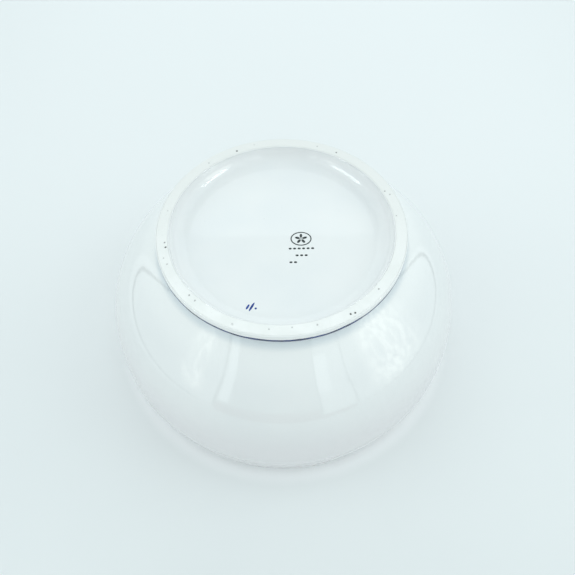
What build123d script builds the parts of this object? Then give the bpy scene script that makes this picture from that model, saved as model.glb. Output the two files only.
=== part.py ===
"""Porcelain serving bowl, standing on its mouth with its foot upwards.

The origin is the centre of the circle that the lip stands on, and +Z points up
through the foot. Every turned piece comes from one section of the clay, so a
changed size carries through the clay, the glaze and the marks.
"""

import math
import os

from build123d import *

os.makedirs("parts", exist_ok=True)

# Driving sizes, in millimetres. Sizes of the clay are before glazing.
height = 79.5
rim_radius = 78.0
belly_radius = 81.0
belly_height = 19.4  # the widest place, above the lip
wall = 3.6
floor_thickness = 4.9
well_inset = 13.2  # the flat middle of the inside starts this far in from the neck
glaze = 0.25  # thickness of every glaze coat

foot_radius = 52.4
foot_height = 4.3  # from the foot's face to the neck
foot_face_width = 4.7
foot_edge = 0.45  # soft edges of the foot's face
foot_flare = 0.25  # the ring's face is this much smaller than its widest place
neck_depth = 1.2  # how far the neck stands in from the ring
neck_round = 0.9  # height of the ring's rounded under-edge
recess_depth = 8.0  # from the foot's face to the clay of the recess
cove_width = 7.8  # the curve from the recess floor up to the foot's face
slip = 0.3  # layer of slip that joins foot and body

lip_bare = 0.3  # the glaze thins away over the crest of the lip
foot_bare = 0.5  # the glaze is wiped back from the foot's face

line_width = 1.65
line_inset = 2.0  # from the foot's face to the painted line

stamp_place = (8.2, -1.0)  # middle of the printed ring, in the recess
stamp_width = 9.0
stamp_height = 7.4
stamp_line = 0.5  # printed line
petal_count = 5
dash_length = 1.3
dash_height = 0.9
dash_gap = 0.6
# rows of dashes: how many, how far below the ring's middle, and how far along
dash_rows = ((6, 5.2, 0), (3, 8.8, 0), (2, 12.3, -3.6))
painter_place = (-12.3, -34.6)
painter_stroke = 4.4
painter_brush = 0.8

# Shape of the curves, as shares of the height they climb or the width they cross.
rim_bend = 0.85  # where the lip's lean meets the upright of the belly
belly_fullness = 0.66
shoulder_reach = 0.39
shoulder_angle = math.radians(56)  # slope of the wall where it leaves the neck
inside_fullness = 0.56
inside_reach = 0.39

# Heights that follow from the driving sizes.
neck_radius = foot_radius - neck_depth
neck_height = height - foot_height
well_radius = neck_radius - well_inset
recess_height = height - recess_depth
floor_height = recess_height - floor_thickness
face_outer = foot_radius - foot_flare
face_inner = face_outer - foot_face_width
far = 2 * belly_radius

# The lip is a full round, square to a wall that leans out to the belly.
lip = wall / 2
lean = math.atan2(belly_radius - rim_radius, rim_bend * belly_height)
lip_centre = (rim_radius - lip * math.cos(lean), lip)


def from_lip(distance, turn):
    """A point round the lip, turned from the outside of the wall."""
    angle = lean + turn
    return (
        lip_centre[0] + distance * math.cos(angle),
        lip_centre[1] - distance * math.sin(angle),
    )


def lean_meets(radius, start):
    """The point where the leaning wall from start would reach a radius."""
    return (radius, start[1] + (radius - start[0]) / math.tan(lean))


def bowl_section(skin):
    """Section of the bowl from the axis out and back, its surface raised by a skin."""
    floor = floor_height - skin
    inner = belly_radius - wall - skin
    belly = belly_radius + skin
    lip_outer = from_lip(lip + skin, 0)
    lip_inner = from_lip(lip + skin, math.pi)
    neck = (neck_radius + skin / math.tan(shoulder_angle / 2), neck_height - skin)
    shoulder = shoulder_reach * (neck[1] - belly_height)
    under_edge = neck_height + neck_round
    cove_centre = (face_inner - cove_width, height - foot_edge)
    cove_depth = recess_depth - foot_edge - skin

    with BuildSketch(Plane.XZ) as section:
        with BuildLine():
            # inside of the bowl, from the axis down to the lip
            Line((0, floor), (well_radius, floor))
            Bezier(
                (well_radius, floor),
                (inner - inside_reach * (inner - well_radius), floor),
                (inner, belly_height + inside_fullness * (floor - belly_height)),
                (inner, belly_height),
            )
            Bezier((inner, belly_height), lean_meets(inner, lip_inner), lip_inner)
            ThreePointArc(lip_inner, from_lip(lip + skin, math.pi / 2), lip_outer)
            # outside of the bowl, from the lip up to the neck
            Bezier(lip_outer, lean_meets(belly, lip_outer), (belly, belly_height))
            Bezier(
                (belly, belly_height),
                (belly, belly_height + belly_fullness * (neck[1] - belly_height)),
                (
                    neck[0] + shoulder * math.cos(shoulder_angle),
                    neck[1] - shoulder * math.sin(shoulder_angle),
                ),
                neck,
            )
            # the foot: rounded under-edge, flared wall, soft-edged face
            EllipticalCenterArc(
                (neck[0], under_edge),
                foot_radius + skin - neck[0],
                neck_round + skin,
                -90,
                arc_size=90,
            )
            Polyline(
                (foot_radius + skin, under_edge),
                (face_outer + skin, height - foot_edge),
                (face_outer - foot_edge, height),
                (face_inner + foot_edge, height),
                (face_inner - skin, height - foot_edge),
            )
            # the cove down to the recess, and back to the axis
            EllipticalCenterArc(cove_centre, cove_width - skin, cove_depth, 0, arc_size=-90)
            Polyline(
                (cove_centre[0], recess_height + skin),
                (0, recess_height + skin),
                (0, floor),
            )
        make_face()
    return section.sketch_local


clay_section = bowl_section(0)
glazed_section = bowl_section(glaze)


def between(low, high):
    """Keep only the stretch of the current section between two heights."""
    with Locations((0, (low + high) / 2)):
        Rectangle(2 * far, high - low, mode=Mode.INTERSECT)


# ---- bowl body: wall and floor, up to the face the foot is luted to ----
with BuildPart() as bowl_body:
    with BuildSketch(Plane.XZ):
        add(clay_section)
        between(-far, neck_height - slip)
    revolve(axis=Axis.Z)
bowl_body.part.label = "bowl_body"
export_step(bowl_body.part, "parts/bowl_body.step")

# ---- foot joint: the layer of slip between body and foot ----
with BuildPart() as foot_joint:
    with BuildSketch(Plane.XZ):
        add(clay_section)
        between(neck_height - slip, neck_height)
    revolve(axis=Axis.Z)
foot_joint.part.label = "foot_joint"
export_step(foot_joint.part, "parts/foot_joint.step")

# ---- foot ring: turned, with a bare face ----
with BuildPart() as foot_ring:
    with BuildSketch(Plane.XZ):
        add(clay_section)
        between(neck_height, height)
    revolve(axis=Axis.Z)
foot_ring.part.label = "foot_ring"
export_step(foot_ring.part, "parts/foot_ring.step")

# ---- sections of the glaze coats: outside, inside and recess ----
with BuildSketch(Plane.XZ) as coat_sections:
    add(glazed_section)
    add(clay_section, mode=Mode.SUBTRACT)
    between(lip_bare, height - foot_bare)

recess_coat, inside_coat, outside_coat = sorted(
    coat_sections.sketch.faces(), key=lambda coat: coat.bounding_box().max.X
)

# ---- outer glaze, in two bands: the painted line shows between them ----
line_top = height - line_inset
line_bottom = line_top - line_width
with BuildPart() as outer_glaze:
    revolve(outside_coat, axis=Axis.Z)
    with BuildSketch(Plane.XY.offset(line_bottom)):
        Circle(far)
    extrude(amount=line_width, mode=Mode.SUBTRACT)
outer_glaze.part.label = "outer_glaze"
export_step(outer_glaze.part, "parts/outer_glaze.step")

# ---- foot line: cobalt, fired level with the glaze on both sides of it ----
with BuildPart() as foot_line:
    revolve(outside_coat, axis=Axis.Z)
    with BuildSketch(Plane.XY.offset(line_bottom)):
        Circle(far)
    extrude(amount=line_width, mode=Mode.INTERSECT)
foot_line.part.label = "foot_line"
export_step(foot_line.part, "parts/foot_line.step")

# ---- inner glaze ----
with BuildPart() as inner_glaze:
    revolve(inside_coat, axis=Axis.Z)
inner_glaze.part.label = "inner_glaze"
export_step(inner_glaze.part, "parts/inner_glaze.step")

# ---- outlines of the two marks, seen from above ----
stamp_x, stamp_y = stamp_place
petal_long = 0.3 * stamp_height
petal_wide = 0.16 * stamp_height
with BuildSketch(Plane.XY.offset(recess_height)) as stamp_outline:
    with Locations(stamp_place):
        Ellipse(stamp_width / 2, stamp_height / 2)
        Ellipse(stamp_width / 2 - stamp_line, stamp_height / 2 - stamp_line, mode=Mode.SUBTRACT)
        with PolarLocations(petal_long / 2 + stamp_line, petal_count, start_angle=90):
            Ellipse(petal_long / 2, petal_wide / 2)
    for count, drop, shift in dash_rows:
        with Locations((stamp_x + shift, stamp_y - drop)):
            with GridLocations(dash_length + dash_gap, 0, count, 1):
                Rectangle(dash_length, dash_height)

painter_x, painter_y = painter_place
with BuildSketch(Plane.XY.offset(recess_height)) as painter_outline:
    with Locations(Location(painter_place, 62)):
        SlotOverall(painter_stroke, painter_brush)
    with Locations(Location((painter_x - 2 * painter_brush, painter_y), 62)):
        SlotOverall(0.6 * painter_stroke, painter_brush)
    with Locations((painter_x + 2 * painter_brush, painter_y - painter_brush)):
        Circle(painter_brush / 2)

# ---- back stamp and painter's mark: sunk level into the recess glaze ----
with BuildPart() as back_stamp:
    revolve(recess_coat, axis=Axis.Z)
    extrude(stamp_outline.sketch, amount=recess_depth, mode=Mode.INTERSECT)
back_stamp.part.label = "back_stamp"
export_step(back_stamp.part, "parts/back_stamp.step")

with BuildPart() as painter_mark:
    revolve(recess_coat, axis=Axis.Z)
    extrude(painter_outline.sketch, amount=recess_depth, mode=Mode.INTERSECT)
painter_mark.part.label = "painter_mark"
export_step(painter_mark.part, "parts/painter_mark.step")

# ---- recess glaze, open where the marks lie ----
with BuildPart() as recess_glaze:
    revolve(recess_coat, axis=Axis.Z)
    extrude(stamp_outline.sketch, amount=recess_depth, mode=Mode.SUBTRACT)
    extrude(painter_outline.sketch, amount=recess_depth, mode=Mode.SUBTRACT)
recess_glaze.part.label = "recess_glaze"
export_step(recess_glaze.part, "parts/recess_glaze.step")
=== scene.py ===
"""A glazed porcelain serving bowl, standing on its mouth on a pale sheet.

The sections follow the bowl as it is made: clay wall, foot ring, glaze coats,
the line painted round the foot, and the marks in the foot recess.
"""

import math

import bmesh
import bpy
from mathutils import Matrix, Vector, noise
from mathutils.geometry import interpolate_bezier


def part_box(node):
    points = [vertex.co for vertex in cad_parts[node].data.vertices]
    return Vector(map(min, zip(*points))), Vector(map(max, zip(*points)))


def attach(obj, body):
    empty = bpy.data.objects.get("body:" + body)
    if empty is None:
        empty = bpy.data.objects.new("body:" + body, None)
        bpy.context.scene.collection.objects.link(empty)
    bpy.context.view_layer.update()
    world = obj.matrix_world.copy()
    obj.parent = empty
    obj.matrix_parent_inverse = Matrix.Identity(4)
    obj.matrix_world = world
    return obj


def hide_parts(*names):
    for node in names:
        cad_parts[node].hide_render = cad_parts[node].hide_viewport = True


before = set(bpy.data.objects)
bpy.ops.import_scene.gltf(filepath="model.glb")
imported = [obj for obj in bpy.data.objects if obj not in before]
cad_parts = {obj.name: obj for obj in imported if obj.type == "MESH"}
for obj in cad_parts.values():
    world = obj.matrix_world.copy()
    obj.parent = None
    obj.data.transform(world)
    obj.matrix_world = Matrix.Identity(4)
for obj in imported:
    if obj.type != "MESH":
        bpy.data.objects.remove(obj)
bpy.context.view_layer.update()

scene = bpy.context.scene
MM = 0.001

# ---- Camera ----
# Held over the near side of the bowl and looking steeply down at its foot,
# with a wide, undistorted lens and a slight roll of the hand.
CAMERA_PLACE = (0.0020, -0.1532, 0.2657)
CAMERA_TILT = math.radians(33.3)  # from straight down
CAMERA_ROLL = math.radians(-1.15)
camera = bpy.data.objects.new("camera", bpy.data.cameras.new("camera"))
camera.data.sensor_width = 36
camera.data.lens = 36
camera.data.clip_start = 0.01
camera.matrix_world = (
    Matrix.Translation(CAMERA_PLACE)
    @ Matrix.Rotation(CAMERA_TILT, 4, "X")
    @ Matrix.Rotation(CAMERA_ROLL, 4, "Z")
)
scene.collection.objects.link(camera)
scene.camera = camera
scene.view_settings.view_transform = "Standard"


# ---- Shooting table ----
# A pale sheet lies under the bowl inside a small light tent of white cloth.
# Lamps outside the cloth light it evenly; its walls and seams show in the glaze.

# Sockets that are told apart only by number.
MIX_FIRST, MIX_SECOND, MIX_COLOUR = 6, 7, 2  # the colours of a mix node
OBJECT_COORDINATES = 3
Z = 2
ATTRIBUTE_VALUE = 2


class Tone:
    """A socket of a finish, wrapped so that sums on it read as sums."""

    def __init__(self, tree, socket=None):
        self.tree = tree
        self.socket = socket

    def node(self, kind, settings=None, inputs=None, output=0):
        """Any node: its settings first, then the values or links of its sockets."""
        made = self.tree.nodes.new(kind)
        for name, value in (settings or {}).items():
            setattr(made, name, value)
        for name, value in (inputs or {}).items():
            if isinstance(value, Tone):
                self.tree.links.new(value.socket, made.inputs[name])
            else:
                made.inputs[name].default_value = value
        return Tone(self.tree, made.outputs[output])

    def sum(self, operation, other):
        """This and another tone or number, put through one operation."""
        return self.node("ShaderNodeMath", {"operation": operation}, {0: self, 1: other})

    def __add__(self, other):
        return self.sum("ADD", other)

    def __sub__(self, other):
        return self.sum("SUBTRACT", other)

    def __mul__(self, other):
        return self.sum("MULTIPLY", other)

    def ramp(self, low, high):
        """0 below low, 1 above high, and smooth between."""
        return self.node(
            "ShaderNodeMapRange",
            {"interpolation_type": "SMOOTHSTEP"},
            {"Value": self, "From Min": low, "From Max": high},
        )

    def blend(self, first, second):
        """The first colour where this is 0, and the second where it is 1."""
        return self.node(
            "ShaderNodeMix",
            {"data_type": "RGBA"},
            {"Factor": self, MIX_FIRST: first, MIX_SECOND: second},
            output=MIX_COLOUR,
        )

    def noise(self, size, detail=2.0, roughness=0.5):
        """Cloudy noise of a real size, in metres, on the piece's own coordinates."""
        return self.node(
            "ShaderNodeTexNoise",
            None,
            {
                "Vector": self.place(),
                "Scale": 1 / size,
                "Detail": detail,
                "Roughness": roughness,
            },
        )

    def place(self):
        """The piece's own coordinates, in metres."""
        return self.node("ShaderNodeTexCoord", output=OBJECT_COORDINATES)

    def distance(self, point):
        """How far the surface is from a point, in metres."""
        return self.node(
            "ShaderNodeVectorMath", {"operation": "DISTANCE"}, {0: self.place(), 1: point}, output=1
        )

    def height(self):
        """How high the surface is, in metres."""
        return self.node("ShaderNodeSeparateXYZ", None, {0: self.place()}, output=Z)

    def bump(self, strength, depth):
        """A normal raised by this height, with depth in metres."""
        return self.node(
            "ShaderNodeBump", None, {"Height": self, "Strength": strength, "Distance": depth}
        )


def finish(name, **sockets):
    """A material with one Principled shader, some of its sockets set to fixed values."""
    material = bpy.data.materials.new(name)
    material.use_nodes = True
    tree = material.node_tree
    shader = tree.nodes["Principled BSDF"]
    for socket, value in sockets.items():
        shader.inputs[socket.replace("_", " ")].default_value = value
    return material, Tone(tree), shader


def wire(shader, socket, tone):
    """Lead a tone that varies over the surface into one of the shader's sockets."""
    tone.tree.links.new(tone.socket, shader.inputs[socket])


SHEET_SIZE = 4.0
SHEET_GAP = 0.2 * MM  # keeps the lip from lying inside the sheet
sheet_finish, sheet_tone, sheet_shader = finish(
    "sheet_cloth", Roughness=0.8, Specular_IOR_Level=0.2
)
weave = sheet_tone.noise(0.16, detail=3).ramp(0.3, 0.7)
worn = weave.blend((0.785, 0.80, 0.80, 1), (0.81, 0.825, 0.82, 1))
# Painted light: the sheet is painted paler behind the bowl, where more light falls on it.
behind_bowl = sheet_tone.distance((0, 0.22, 0)).ramp(0.40, 0.12)
pale = behind_bowl.blend(worn, (0.845, 0.855, 0.855, 1))
# Painted light: a paler ring of sheet right round the bowl lifts its contact shadow, as bounce
# light would.
under_bowl = sheet_tone.distance((0, 0, 0)).ramp(0.0865, 0.081)
weave_and_painted_light = under_bowl.blend(pale, (0.90, 0.905, 0.905, 1))
wire(sheet_shader, "Base Color", weave_and_painted_light)
bm = bmesh.new()
bmesh.ops.create_grid(bm, x_segments=1, y_segments=1, size=SHEET_SIZE / 2)
bmesh.ops.translate(bm, verts=bm.verts, vec=(0, 0, -SHEET_GAP))
mesh = bpy.data.meshes.new("sheet")
bm.to_mesh(mesh)
bm.free()
sheet = bpy.data.objects.new("sheet", mesh)
sheet.data.materials.append(sheet_finish)
scene.collection.objects.link(sheet)

TENT_LIGHT = (0.90, 1.0, 1.02)
TENT_GLOW = 0.77
tent = bpy.data.worlds.new("tent")
tent.use_nodes = True
tent.node_tree.nodes["Background"].inputs["Color"].default_value = (*TENT_LIGHT, 1)
tent.node_tree.nodes["Background"].inputs["Strength"].default_value = TENT_GLOW
scene.world = tent

LAMP_AIM = Vector((0, 0, 0.04))  # the middle of the bowl
# name, place, width, height and watts of each lamp behind the cloth
for name, place, width, height, power in (
    ("roof_lamp", (0, 0, 0.80), 0.5, 0.5, 0.26),
    ("front_lamp", (0, -0.45, 0.70), 0.5, 0.5, 0.49),
    ("left_lamp", (-0.55, 0, 0.50), 0.5, 0.5, 0.50),
    ("right_lamp", (0.55, 0, 0.50), 0.5, 0.5, 0.76),
    ("back_lamp", (0, 0.80, 0.30), 0.8, 0.4, 1.15),
):
    light = bpy.data.lights.new(name, "AREA")
    light.shape = "RECTANGLE"
    light.size = width
    light.size_y = height
    light.energy = power
    light.color = TENT_LIGHT
    lamp = bpy.data.objects.new(name, light)
    towards = LAMP_AIM - Vector(place)
    lamp.matrix_world = (
        Matrix.Translation(place) @ towards.to_track_quat("-Z", "Y").to_matrix().to_4x4()
    )
    lamp.visible_camera = False
    lamp.visible_glossy = False
    scene.collection.objects.link(lamp)


def glow(name, strength, tint=TENT_LIGHT):
    """Cloth or lamp that only shines, as the glaze sees it."""
    return finish(
        name,
        Base_Color=(0, 0, 0, 1),
        Specular_IOR_Level=0,
        Emission_Color=(*tint, 1),
        Emission_Strength=strength,
    )


def hang(name, panels, material):
    """Upright panels round the table that show in the glaze and nowhere else."""
    bm = bmesh.new()
    for away, along, low, high, width, turn in panels:
        spot = (
            Matrix.Rotation(math.radians(turn), 4, "Z")
            @ Matrix.Translation((away, along, (low + high) / 2))
            @ Matrix.Rotation(math.radians(90), 4, "Y")
            @ Matrix.Diagonal(((high - low) / 2, width / 2, 1, 1))
        )
        bmesh.ops.create_grid(bm, x_segments=1, y_segments=1, size=1, matrix=spot)
    mesh = bpy.data.meshes.new(name)
    bm.to_mesh(mesh)
    bm.free()
    hanging = bpy.data.objects.new(name, mesh)
    hanging.data.materials.append(material)
    hanging.visible_camera = False
    hanging.visible_diffuse = False
    hanging.visible_shadow = False
    scene.collection.objects.link(hanging)


# Each panel: distance from the middle, place along, low, high, width, and the way
# it lies from the middle in degrees (0 is right, 90 far, 180 left, -90 near).
WALL_AWAY = 0.33
BACK_AWAY = 0.42
FRONT_AWAY = 0.46
SIDE_MIDDLE = (BACK_AWAY - FRONT_AWAY) / 2
SIDE_WIDTH = BACK_AWAY + FRONT_AWAY
TENT_TOP = 0.6
LAYER = 0.01  # what hangs in front of the opening hangs in layers this far apart
SEAM_AWAY = 0.003  # seams stand this far inside their wall
cloth, cloth_tone, cloth_shader = glow("tent_cloth", 1.0)
lit_left = cloth_tone.distance((-WALL_AWAY, -0.27, 0.15)).ramp(0.10, 0.02)
lit_right = cloth_tone.distance((WALL_AWAY, -0.18, 0.15)).ramp(0.18, 0.05)
creases = cloth_tone.noise(0.018, detail=3, roughness=0.6).ramp(0.44, 0.58)
lit = (lit_left * 0.55 + lit_right * 0.7) * (creases * 0.8 + 0.2)
wire(cloth_shader, "Emission Color", lit.blend((1.02, 1.13, 1.15, 1), (3.9, 4.0, 3.7, 1)))
hang(
    "tent_walls",
    (
        (WALL_AWAY, SIDE_MIDDLE, 0.0, TENT_TOP, SIDE_WIDTH, 0),
        (WALL_AWAY, -SIDE_MIDDLE, 0.0, TENT_TOP, SIDE_WIDTH, 180),
        (BACK_AWAY, 0.0, 0.0, TENT_TOP, 2 * WALL_AWAY, 90),
        (FRONT_AWAY - LAYER, 0.235, 0.04, 0.45, 0.19, -90),
    ),
    cloth,
)
SEAM = 0.008
hang(
    "tent_seams",
    (
        (WALL_AWAY - SEAM_AWAY, SIDE_MIDDLE, 0.014, 0.014 + SEAM, SIDE_WIDTH, 0),
        (WALL_AWAY - SEAM_AWAY, -SIDE_MIDDLE, 0.026, 0.026 + SEAM, SIDE_WIDTH, 180),
        (BACK_AWAY - SEAM_AWAY, 0.0, 0.0, SEAM, 2 * WALL_AWAY, 90),
        (FRONT_AWAY - 3 * LAYER, 0.137, 0.04, 0.45, SEAM, -90),
        (FRONT_AWAY - 3 * LAYER, 0.318, 0.04, 0.45, 0.012, -90),
        (FRONT_AWAY - 3 * LAYER, -0.315, 0.04, 0.45, 0.014, -90),
    ),
    glow("tent_seam", 0.0)[0],
)
hang(
    "room_beyond",
    ((FRONT_AWAY, 0.0, 0.10, 0.45, 2 * WALL_AWAY, -90),),
    glow("room", 0.58)[0],
)
hang(
    "table_edge",
    ((FRONT_AWAY, 0.0, 0.0, 0.10, 2 * WALL_AWAY, -90),),
    glow("warm_table", 0.34, (1.0, 0.62, 0.70))[0],
)
hang(
    "front_cloth",
    (
        (FRONT_AWAY - 2 * LAYER, 0.178, 0.215, 0.30, 0.07, -90),
        (FRONT_AWAY - 2 * LAYER, -0.275, 0.12, 0.30, 0.06, -90),
    ),
    glow("lit_cloth", 1.7)[0],
)
TUBE_LENGTH = 0.24  # two lamp tubes shine through the cloth high on each side wall
TUBE_WIDTH = 0.012
hang(
    "lamp_tubes",
    [
        (WALL_AWAY - LAYER, along, low, low + TUBE_WIDTH, TUBE_LENGTH, turn)
        for turn, along in ((0, -0.13), (180, 0.13))
        for low in (0.26, 0.33)
    ],
    glow("lamp", 18.0)[0],
)

# ---- Clay wall ----
# The wall and floor are one jiggered clay shape, fired hard and bare. It hides
# under the glaze, and everything else on the bowl is fitted to it.
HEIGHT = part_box("foot_ring")[1][2]
NECK_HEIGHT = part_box("foot_ring")[0][2]
SEAT_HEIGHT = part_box("foot_joint")[0][2]
RECESS_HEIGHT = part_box("recess_glaze")[0][2]
FLOOR_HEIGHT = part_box("inner_glaze")[1][2]
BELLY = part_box("bowl_body")[1][0]
INSIDE_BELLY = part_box("inner_glaze")[1][0]
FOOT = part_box("foot_ring")[1][0]
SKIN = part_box("outer_glaze")[1][0] - BELLY  # thickness of a glaze coat
WALL = BELLY - INSIDE_BELLY
LIP = WALL / 2  # the lip is a full round
RIM = 78.0 * MM
BELLY_HEIGHT = 19.4 * MM
WELL = 38.0 * MM  # flat middle of the inside
NECK = FOOT - 1.2 * MM
SHOULDER_SLOPE = math.radians(56)  # slope of the wall where it leaves the neck
# Shape of the curves, as shares of the height they climb or the width they cross.
RIM_BEND = 0.85  # where the lip's lean meets the upright of the belly
BELLY_FULLNESS = 0.66
SHOULDER_REACH = 0.39
INSIDE_FULLNESS = 0.56
INSIDE_REACH = 0.39
LEAN = math.atan2(BELLY - RIM, RIM_BEND * BELLY_HEIGHT)
UNDER_EDGE = NECK_HEIGHT + 0.9 * MM  # top of the ring's rounded under-edge
FACE_OUTER = FOOT - 0.25 * MM
FACE_INNER = FACE_OUTER - 4.7 * MM
FACE_EDGE = 0.45 * MM  # soft edges of the foot's face
COVE_WIDTH = 7.8 * MM
COVE_CENTRE = (FACE_INNER - COVE_WIDTH, HEIGHT - FACE_EDGE)
COVE_DEPTH = COVE_CENTRE[1] - RECESS_HEIGHT
OVAL = 0.0006  # the wall draws in by this share across its narrow way
OVAL_WAY = 0.6  # direction of the narrow way, in radians


def stretch(start, first, second, end, steps):
    """A smooth stretch of a turned outline, as (radius, height) points."""
    knots = [Vector((*point, 0)) for point in (start, first, second, end)]
    return [(point.x, point.y) for point in interpolate_bezier(*knots, steps)]


def arc(centre, across, up, start, end, steps):
    """Part of an ellipse, from one angle in degrees to another."""
    turns = [math.radians(start + (end - start) * i / steps) for i in range(steps + 1)]
    return [(centre[0] + across * math.cos(t), centre[1] + up * math.sin(t)) for t in turns]


def lean_meets(radius, start):
    """Where the leaning wall from start would reach a radius."""
    return (radius, start[1] + (radius - start[0]) / math.tan(LEAN))


def lip_line(skin, start, end, steps):
    """Round the lip, between two angles turned from the outside of the wall."""
    centre = (RIM - LIP * math.cos(LEAN), LIP + SKIN)
    turn = math.degrees(LEAN)
    return arc(centre, LIP + skin, LIP + skin, -turn - start, -turn - end, steps)


def outside_line(skin, rows):
    """Up the outside, from the end of the lip's round to the neck."""
    lip = lip_line(skin, 0, 0, 1)[0]
    belly = (BELLY + skin, BELLY_HEIGHT)
    neck = (NECK + skin / math.tan(SHOULDER_SLOPE / 2), NECK_HEIGHT - skin)
    reach = SHOULDER_REACH * (neck[1] - BELLY_HEIGHT)
    bend = lean_meets(belly[0], lip)
    low = stretch(lip, bend, bend, belly, rows // 4)
    shoulder = (
        neck[0] + reach * math.cos(SHOULDER_SLOPE),
        neck[1] - reach * math.sin(SHOULDER_SLOPE),
    )
    fullness = (belly[0], BELLY_HEIGHT + BELLY_FULLNESS * (neck[1] - BELLY_HEIGHT))
    return low[1:-1] + stretch(belly, fullness, shoulder, neck, rows)


def inside_line(skin, rows):
    """Down the inside, from the axis out to the start of the lip's round."""
    lip = lip_line(skin, 180, 180, 1)[0]
    floor = FLOOR_HEIGHT - skin
    belly = (INSIDE_BELLY - skin, BELLY_HEIGHT)
    bend = lean_meets(belly[0], lip)
    low = stretch(belly, bend, bend, lip, rows // 4)
    sweep = (belly[0] - INSIDE_REACH * (belly[0] - WELL), floor)
    fullness = (belly[0], BELLY_HEIGHT + INSIDE_FULLNESS * (floor - BELLY_HEIGHT))
    flat = [(WELL * i / 6, floor) for i in range(6)]
    return flat + stretch((WELL, floor), sweep, fullness, belly, rows) + low[1:-1]


def cove_line(skin, low, high, steps):
    """Up the cove of the recess, between two heights."""
    across, up = COVE_WIDTH - skin, COVE_DEPTH - skin
    # the deepest point may round to just past the end of the curve
    start, end = (
        math.degrees(math.asin(max(-1, (z - COVE_CENTRE[1]) / up))) for z in (low, high)
    )
    return arc(COVE_CENTRE, across, up, start, end, steps)


SECTORS = 12  # the wheel turns a twelfth at a time


def turned(outline, segments, closed=False):
    """A bmesh of an outline spun round the bowl's axis, as a turner's template is."""
    bm = bmesh.new()
    verts = [bm.verts.new((radius, 0, height)) for radius, height in outline]
    edges = [bm.edges.new(pair) for pair in zip(verts, verts[1:])]
    if closed:
        edges.append(bm.edges.new((verts[-1], verts[0])))
    turn = math.tau / SECTORS
    upright = {"cent": (0, 0, 0), "axis": (0, 0, 1)}
    bmesh.ops.spin(bm, geom=verts + edges, angle=turn, steps=segments // SECTORS, **upright)
    sector = bm.verts[:] + bm.edges[:] + bm.faces[:]
    bmesh.ops.spin(
        bm, geom=sector, angle=math.tau - turn, steps=SECTORS - 1, use_duplicate=True, **upright
    )
    bmesh.ops.remove_doubles(bm, verts=bm.verts, dist=0.001 * MM)
    bmesh.ops.recalc_face_normals(bm, faces=bm.faces)
    if bm.calc_volume(signed=True) < 0:
        bmesh.ops.reverse_faces(bm, faces=bm.faces)
    return bm


def add_piece(name, bm, material, *, node, smooth=True):
    """Put a finished mesh on the bowl, in place of its CAD node."""
    for vert in bm.verts:
        angle = math.atan2(vert.co.y, vert.co.x)
        wander = 1 - OVAL * (1 - math.cos(2 * (angle - OVAL_WAY)))
        vert.co.x *= wander
        vert.co.y *= wander
    for face in bm.faces:
        face.smooth = smooth
    mesh = bpy.data.meshes.new(name)
    bm.to_mesh(mesh)
    bm.free()
    piece = bpy.data.objects.new(name, mesh)
    piece.data.materials.append(material)
    scene.collection.objects.link(piece)
    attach(piece, "root")
    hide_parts(node)


biscuit, clay_tone, clay_shader = finish(
    "bare_biscuit", Roughness=0.6, Specular_IOR_Level=0.35
)
clay_cloud = clay_tone.noise(6 * MM, detail=3).ramp(0.3, 0.7)
wire(clay_shader, "Base Color", clay_cloud.blend((0.86, 0.87, 0.85, 1), (0.90, 0.91, 0.89, 1)))
wire(clay_shader, "Normal", clay_tone.noise(0.35 * MM, detail=4).bump(0.4, 0.03 * MM))

clay_outline = (
    inside_line(0, 40)
    + lip_line(0, 180, 0, 16)
    + outside_line(0, 60)
    + [(NECK + 0.3 * MM, SEAT_HEIGHT)]
    + cove_line(0, SEAT_HEIGHT, RECESS_HEIGHT, 16)
    + [(0, RECESS_HEIGHT)]
)
bm = turned(clay_outline, segments=240)
add_piece("clay_wall", bm, biscuit, node="bowl_body")

# ---- Foot joint ----
# The thin layer of slip that the foot ring is luted on with. The glaze hides it,
# so the CAD solid stays as it is and only takes the look of fired clay.
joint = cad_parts["foot_joint"]
joint.data.materials.clear()
joint.data.materials.append(biscuit)

# ---- Foot ring ----
# A clay ring luted on with slip and trimmed on the wheel. Its face is wiped
# bare before firing, and shows small pits and specks of iron.
FACE_ROWS = 18
SPOT_REACH = 0.03  # no spot is wider than this, in radians either way
SPOT_PIT = 0.35  # depth of a spot's pit, as a share of its radius
SPOT_CORE = 2.5  # how steeply a spot's colour rises from its edge
WEAR = 0.02 * MM  # the face is worn and rubbed by about this much
# direction in degrees, share of the way across the face, radius in millimetres, darkness
IRON_SPOTS = (
    (114, 0.35, 0.55, 1.0),
    (131, 0.45, 0.45, 0.35),
    (104, 0.60, 0.40, 0.30),
    (70, 0.50, 0.45, 0.35),
    (59, 0.45, 0.45, 0.9),
    (22, 0.25, 0.50, 0.55),
    (19, 0.50, 0.45, 0.45),
    (5, 0.25, 0.40, 0.40),
    (169, 0.40, 0.40, 0.30),
    (-171, 0.25, 0.45, 0.7),
    (-168, 0.20, 0.50, 1.0),
    (-162, 0.55, 0.45, 0.35),
    (-158, 0.45, 0.45, 0.40),
    (-137, 0.35, 0.45, 0.55),
    (-133, 0.38, 0.50, 0.45),
    (-112, 0.62, 0.70, 0.22),
    (-96, 0.42, 0.40, 0.40),
    (-86, 0.28, 0.45, 0.35),
    (-75, 0.42, 0.50, 0.40),
    (-59.5, 0.62, 0.50, 1.0),
    (-57.5, 0.72, 0.55, 1.0),
    (-41, 0.42, 0.50, 0.6),
)

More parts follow.
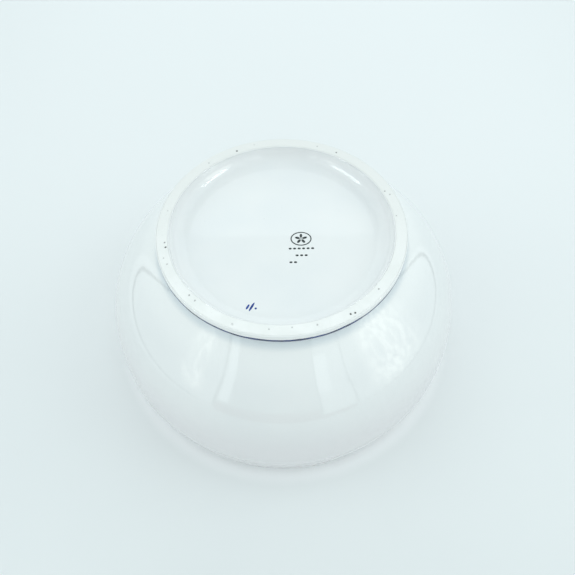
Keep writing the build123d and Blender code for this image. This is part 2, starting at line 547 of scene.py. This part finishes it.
face_inside = arc((FACE_INNER + FACE_EDGE, HEIGHT - FACE_EDGE), FACE_EDGE, FACE_EDGE, 180, 90, 6)
face_outside = arc((FACE_OUTER - FACE_EDGE, HEIGHT - FACE_EDGE), FACE_EDGE, FACE_EDGE, 90, 0, 6)
face_width = FACE_OUTER - FACE_INNER - 2 * FACE_EDGE
face_flat = [
    (FACE_INNER + FACE_EDGE + face_width * i / FACE_ROWS, HEIGHT) for i in range(1, FACE_ROWS)
]
ring_outline = (
    cove_line(0, NECK_HEIGHT, HEIGHT - FACE_EDGE, 6)[:-1]
    + face_inside
    + face_flat
    + face_outside
    + arc((NECK, UNDER_EDGE), FOOT - NECK, UNDER_EDGE - NECK_HEIGHT, 0, -90, 6)
)
bm = turned(ring_outline, segments=1440, closed=True)
iron = bm.verts.layers.float.new("iron")
spots = [
    (math.radians(way), FACE_INNER + across * (FACE_OUTER - FACE_INNER), radius * MM, dark)
    for way, across, radius, dark in IRON_SPOTS
]
for vert in bm.verts:
    if vert.co.z < HEIGHT - FACE_EDGE:
        continue
    wear = noise.noise(vert.co / (3 * MM)) + 0.5 * noise.noise(vert.co / (0.8 * MM))
    vert.co.z -= WEAR * (1.6 + wear)
    direction = math.atan2(vert.co.y, vert.co.x)
    for way, radius, size, dark in spots:
        if abs(math.remainder(direction - way, math.tau)) > SPOT_REACH:
            continue
        away = (vert.co.xy - Vector((radius * math.cos(way), radius * math.sin(way)))).length
        ragged = size * (1 + 0.5 * noise.noise(vert.co / (0.4 * MM)))
        if away < ragged:
            depth = (1 - (away / ragged) ** 2) ** 2
            vert.co.z -= SPOT_PIT * size * depth
            vert[iron] = max(vert[iron], dark * min(1, SPOT_CORE * depth))

foot_clay, foot_tone, foot_shader = finish(
    "foot_clay", Roughness=0.55, Specular_IOR_Level=0.35
)
grain = foot_tone.noise(0.5 * MM, detail=4)
cloud = foot_tone.noise(9 * MM, detail=2).ramp(0.35, 0.7)
spot = foot_tone.node(
    "ShaderNodeAttribute", {"attribute_name": "iron"}, output=ATTRIBUTE_VALUE
)
fleck = foot_tone.noise(1.1 * MM, detail=3, roughness=0.7).ramp(0.66, 0.74)
bare_clay_and_shade = cloud.blend((0.875, 0.875, 0.85, 1), (0.925, 0.92, 0.90, 1))
# Painted shade: the bare face is painted darker towards the far side of the ring.
painted_far_shade = foot_tone.distance((0, -0.052, HEIGHT)).ramp(0.03, 0.105)
bare_clay_and_shade = painted_far_shade.blend(bare_clay_and_shade, (0.82, 0.815, 0.79, 1))
flecked = (fleck * 0.35).blend(bare_clay_and_shade, (0.50, 0.46, 0.40, 1))
wire(foot_shader, "Base Color", spot.blend(flecked, (0.035, 0.03, 0.028, 1)))
wire(foot_shader, "Normal", grain.bump(0.5, 0.03 * MM))
add_piece("foot_ring_bare", bm, foot_clay, node="foot_ring")

# ---- Glaze ----
# One dip of clear glaze over white clay. It runs over the lip in a single
# skin, pools in the neck, and stops in a soft bead where the foot is wiped.
OUTER_STOP = HEIGHT - 0.55 * MM  # where the glaze is wiped back to, outside the ring
RECESS_STOP = HEIGHT - 0.5 * MM  # and inside it
BEAD = 1.5  # the glaze is this many times thicker at its wiped edge
LIP_LAP = 200  # where the outer coat meets the inner, in degrees round the lip
RIPPLE = 0.014 * MM
RIPPLE_SIZE = 13 * MM


def ripple(bm):
    """Glaze never lies quite flat: move its surface by a few microns."""
    bm.normal_update()
    for vert in bm.verts:
        lift = noise.noise(vert.co / RIPPLE_SIZE) + 0.4 * noise.noise(vert.co * 3 / RIPPLE_SIZE)
        vert.co -= vert.normal * RIPPLE * (1 + lift)
    return bm


def glaze_finish(name, white, wet=0.35, haze=0.05):
    """Clear glaze over white clay: fine pinholes, a slight orange peel, a wet coat."""
    material, tone, shader = finish(
        name, Roughness=0.08, IOR=1.52, Coat_Weight=wet, Coat_Roughness=0.02
    )
    pinhole = tone.noise(0.9 * MM, detail=2, roughness=0.6).ramp(0.76, 0.80)
    wire(shader, "Base Color", (pinhole * 0.5).blend(white(tone), (0.45, 0.44, 0.42, 1)))
    wire(shader, "Roughness", tone.noise(5 * MM, detail=3) * haze + haze)
    wire(shader, "Normal", tone.noise(1.6 * MM, detail=2).bump(0.12, 0.012 * MM))
    return material


def clouded(tone, size, dull, bright):
    """Broad clouds of two nearly equal whites, as in any coat of glaze."""
    return tone.noise(size, detail=2).ramp(0.3, 0.7).blend(dull, bright)


def outside_white(tone):
    """Painted light on the shoulder, painted shade down towards the lip, and a painted blue-grey
    shade in the neck under the foot ring.
    """
    up = tone.height()
    even = clouded(tone, 45 * MM, (0.83, 0.84, 0.835, 1), (0.86, 0.865, 0.855, 1))
    # Painted shade: the wall is painted darker from 54 mm down to 26 mm and below, towards the lip,
    # where the sheet shades it.
    low = up.ramp(54 * MM, 26 * MM).blend(even, (0.815, 0.795, 0.80, 1))
    # Painted light: the shoulder is painted whiter from 58 mm up to 70 mm.
    painted_light_and_shade = up.ramp(58 * MM, 70 * MM).blend(low, (0.91, 0.915, 0.90, 1))
    # Painted shade and painted reflection: a blue-grey band in the neck under the foot ring stands
    # for its shade and the blue line mirrored in it.
    painted_neck_shade = up.ramp(70.5 * MM, 73.5 * MM) - up.ramp(NECK_HEIGHT, UNDER_EDGE)
    return painted_neck_shade.blend(painted_light_and_shade, (0.71, 0.75, 0.77, 1))


def inside_white(tone):
    """Even all over, as a bowl that was filled and poured out."""
    return clouded(tone, 45 * MM, (0.84, 0.85, 0.84, 1), (0.87, 0.87, 0.86, 1))


def recess_white(tone):
    """Paler up the cove towards the foot: painted light on the cove."""
    even = clouded(tone, 30 * MM, (0.84, 0.85, 0.85, 1), (0.875, 0.875, 0.865, 1))
    # Painted light: the cove is painted paler than the recess floor.
    painted_cove_light = tone.height().ramp(RECESS_HEIGHT + 0.4 * MM, RECESS_HEIGHT + 4 * MM)
    return painted_cove_light.blend(even, (0.90, 0.90, 0.895, 1))


bead_centre = (FACE_OUTER, OUTER_STOP)
glazed_neck = NECK + SKIN / math.tan(SHOULDER_SLOPE / 2)
outer_out = (
    lip_line(SKIN, LIP_LAP, 0, 18)
    + outside_line(SKIN, 96)
    + arc(
        (glazed_neck, UNDER_EDGE),
        FOOT + SKIN - glazed_neck,
        UNDER_EDGE - NECK_HEIGHT + SKIN,
        -90,
        0,
        8,
    )[1:]
    + arc(bead_centre, BEAD * SKIN, 1.4 * SKIN, 0, 90, 6)
)
outer_in = (
    lip_line(0, LIP_LAP, 0, 8)
    + outside_line(0, 24)
    + arc((NECK, UNDER_EDGE), FOOT - NECK, UNDER_EDGE - NECK_HEIGHT, -90, 0, 6)[1:]
)
bm = turned(outer_out + outer_in[::-1], segments=396, closed=True)
outside_finish = glaze_finish("outside_glaze", outside_white)
add_piece("outer_glaze_coat", ripple(bm), outside_finish, node="outer_glaze")

inner_out = inside_line(SKIN, 72) + lip_line(SKIN, 180, LIP_LAP, 2)
inner_in = inside_line(0, 36) + lip_line(0, 180, LIP_LAP, 2)
bm = turned(inner_out + inner_in[::-1], segments=240)
inside_finish = glaze_finish("inside_glaze", inside_white)
add_piece("inner_glaze_coat", ripple(bm), inside_finish, node="inner_glaze")

bead_centre = (FACE_INNER, RECESS_STOP)
recess_out = (
    [(COVE_CENTRE[0] * i / 12, RECESS_HEIGHT + SKIN) for i in range(12)]
    + cove_line(SKIN, RECESS_HEIGHT, RECESS_STOP, 30)
    + arc(bead_centre, BEAD * SKIN, 1.2 * SKIN, 180, 90, 5)[1:]
)
recess_in = [(0, RECESS_HEIGHT)] + cove_line(0, RECESS_HEIGHT, RECESS_STOP, 12)
bm = turned(recess_out + recess_in[::-1], segments=300)
recess_finish = glaze_finish("recess_glaze", recess_white, wet=1.0, haze=0.03)
add_piece("recess_glaze_coat", ripple(bm), recess_finish, node="recess_glaze")

# ---- Foot line ----
# One turn of a brush loaded with cobalt, drawn round the ring as it spins.
# It melts level into the glaze, darker where the brush slowed.
LINE_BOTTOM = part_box("foot_line")[0][2]
LINE_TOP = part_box("foot_line")[1][2]
COLOUR_RISE = 0.02 * MM  # painted colour stands this far from the glaze
SWAY = 0.10 * MM  # the brush rides up and down by this much
FRAY = 0.14 * MM  # and its edges by this much


def ring_radius(height, skin):
    """Outside radius of the foot ring's flared wall, at a height."""
    share = (height - UNDER_EDGE) / (HEIGHT - FACE_EDGE - UNDER_EDGE)
    return FOOT + share * (FACE_OUTER - FOOT) + skin


line_outline = [
    (ring_radius(z, SKIN + rise), z)
    for rise, heights in (
        (COLOUR_RISE, [LINE_BOTTOM + (LINE_TOP - LINE_BOTTOM) * i / 6 for i in range(7)]),
        (-SKIN / 2, (LINE_TOP, LINE_BOTTOM)),
    )
    for z in heights
]
bm = turned(line_outline, segments=900, closed=True)
middle = (LINE_TOP + LINE_BOTTOM) / 2
for vert in bm.verts:
    around = Vector((vert.co.x, vert.co.y, 0)) / (7 * MM)
    vert.co.z += SWAY * noise.noise(around)
    edge = Vector((vert.co.x, vert.co.y, math.copysign(40 * MM, vert.co.z - middle)))
    waver = FRAY * noise.noise(edge / (1.6 * MM))
    vert.co.z += waver * (vert.co.z - middle) / (LINE_TOP - middle)

GLASSY = {"Coat_Weight": 0.5, "Coat_Roughness": 0.04}  # colour sunk in the glaze
cobalt, blue_tone, blue_shader = finish("cobalt_blue", Roughness=0.12, **GLASSY)
loaded = blue_tone.noise(3 * MM, detail=4, roughness=0.6).ramp(0.3, 0.75)
wire(blue_shader, "Base Color", loaded.blend((0.006, 0.014, 0.07, 1), (0.02, 0.05, 0.22, 1)))
add_piece("cobalt_foot_line", bm, cobalt, node="foot_line")

# ---- Printed mark ----
# A plain maker's print: a flower in an oval over three rows of dashes, laid
# on the recess by transfer and fired in, so its ink is thin and a little broken.
MARK_HEIGHT = RECESS_HEIGHT + SKIN
STAMP_MIDDLE = Vector((8.2, -1.0, 0)) * MM
STAMP_WIDTH = 9.0 * MM
STAMP_HEIGHT = 7.4 * MM
STAMP_LINE = 0.5 * MM
PETALS = 5
PETAL_LONG = 2.2 * MM
PETAL_WIDE = 1.15 * MM
PETAL_REACH = 1.6 * MM  # from the flower's middle to the middle of a petal
DASH_LONG = 1.35 * MM
DASH_WIDE = 0.95 * MM
DASH_PITCH = 1.9  # in millimetres, like the rows
# rows of dashes: how many, how far below the flower, and how far along, in millimetres
DASH_ROWS = ((6, 5.2, 0), (3, 8.8, 0), (2, 12.3, -3.6))


def dab(bm, middle, long, wide, turn=0.0, sides=24):
    """An oval of colour lying on the recess floor."""
    spot = (
        Matrix.Translation((middle[0], middle[1], MARK_HEIGHT))
        @ Matrix.Rotation(turn, 4, "Z")
        @ Matrix.Diagonal((long / 2, wide / 2, 1, 1))
    )
    bmesh.ops.create_circle(bm, cap_ends=True, segments=sides, radius=1, matrix=spot)


def raise_colour(bm):
    """Give flat colour its thickness, from just inside the glaze to just above it."""
    flat = bmesh.ops.extrude_face_region(bm, geom=bm.faces[:])
    top = [item for item in flat["geom"] if isinstance(item, bmesh.types.BMVert)]
    bmesh.ops.translate(bm, verts=bm.verts, vec=(0, 0, -COLOUR_RISE))
    bmesh.ops.translate(bm, verts=top, vec=(0, 0, 2 * COLOUR_RISE))
    bmesh.ops.recalc_face_normals(bm, faces=bm.faces)
    return bm


bm = bmesh.new()
dab(bm, STAMP_MIDDLE, STAMP_WIDTH, STAMP_HEIGHT, sides=64)
rim_faces = bmesh.ops.inset_region(
    bm, faces=bm.faces[:], thickness=STAMP_LINE, use_boundary=True, use_even_offset=True
)["faces"]
inside_faces = [face for face in bm.faces if face not in rim_faces]
bmesh.ops.delete(bm, geom=inside_faces, context="FACES")
for petal in range(PETALS):
    turn = math.radians(90 + 360 / PETALS * petal)
    middle = STAMP_MIDDLE + PETAL_REACH * Vector((math.cos(turn), math.sin(turn), 0))
    dab(bm, middle, PETAL_LONG, PETAL_WIDE, turn)
dab(bm, STAMP_MIDDLE, STAMP_LINE, STAMP_LINE)
for count, drop, shift in DASH_ROWS:
    for i in range(count):
        place = Vector((shift + DASH_PITCH * (i - (count - 1) / 2), -drop, 0)) * MM
        dab(bm, STAMP_MIDDLE + place, DASH_LONG, DASH_WIDE, sides=12)

ink, ink_tone, ink_shader = finish("printed_ink", Roughness=0.16, **GLASSY)
broken = ink_tone.noise(0.35 * MM, detail=3, roughness=0.7).ramp(0.55, 0.75)
wire(ink_shader, "Base Color", broken.blend((0.012, 0.02, 0.02, 1), (0.16, 0.19, 0.19, 1)))
add_piece(
    "printed_back_stamp",
    raise_colour(bm),
    ink,
    node="back_stamp",
    smooth=False,
)

# ---- Painter's mark ----
# Two short strokes and a dot of thin cobalt, put near the edge of the recess by
# whoever painted the line.
MARK_MIDDLE = Vector((-12.3, -34.6, 0)) * MM
BRUSH = 0.9 * MM
STROKE_TURN = math.radians(62)
thin_cobalt, thin_tone, thin_shader = finish("thin_cobalt", Roughness=0.12, **GLASSY)
washed = thin_tone.noise(0.8 * MM, detail=3, roughness=0.6).ramp(0.35, 0.7)
wire(thin_shader, "Base Color", washed.blend((0.008, 0.03, 0.20, 1), (0.03, 0.10, 0.42, 1)))
bm = bmesh.new()
for aside, long in ((0, 4.4 * MM), (-1.6, 2.6 * MM)):
    dab(bm, MARK_MIDDLE + Vector((aside, 0, 0)) * MM, long, BRUSH, STROKE_TURN)
dab(bm, MARK_MIDDLE + Vector((1.6, -0.8, 0)) * MM, BRUSH, BRUSH)
add_piece(
    "cobalt_painter_mark",
    raise_colour(bm),
    thin_cobalt,
    node="painter_mark",
    smooth=False,
)
